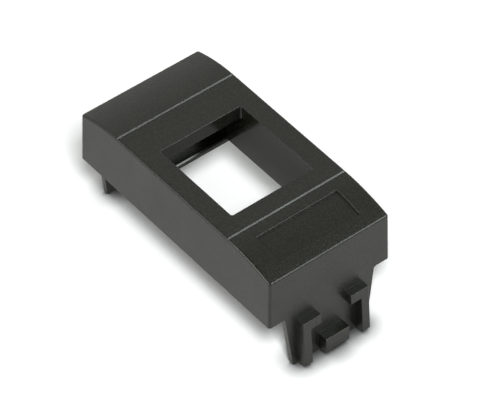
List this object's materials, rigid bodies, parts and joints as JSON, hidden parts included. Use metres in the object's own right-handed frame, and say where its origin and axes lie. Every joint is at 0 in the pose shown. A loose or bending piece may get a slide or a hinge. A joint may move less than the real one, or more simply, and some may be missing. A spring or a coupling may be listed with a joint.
{
  "type": "keystone wall module adapter",
  "caption": "Single-module wall adapter with a square window and collar for a snap-in data jack, open underneath, held in its frame by a snap tab at either end.",
  "frame": {"origin": "on the surface it stands on, under the middle of the part", "axes": "+X across the module, +Y along it towards the latch side of the jack window, +Z out through the face"},
  "size_m": [0.023, 0.0499, 0.0213],
  "materials": {
    "anthracite_plastic": "fine-grained satin moulding, anthracite"
  },
  "bodies": {
    "root": {"adapter_body": "anthracite_plastic"}
  },
  "joints": []
}
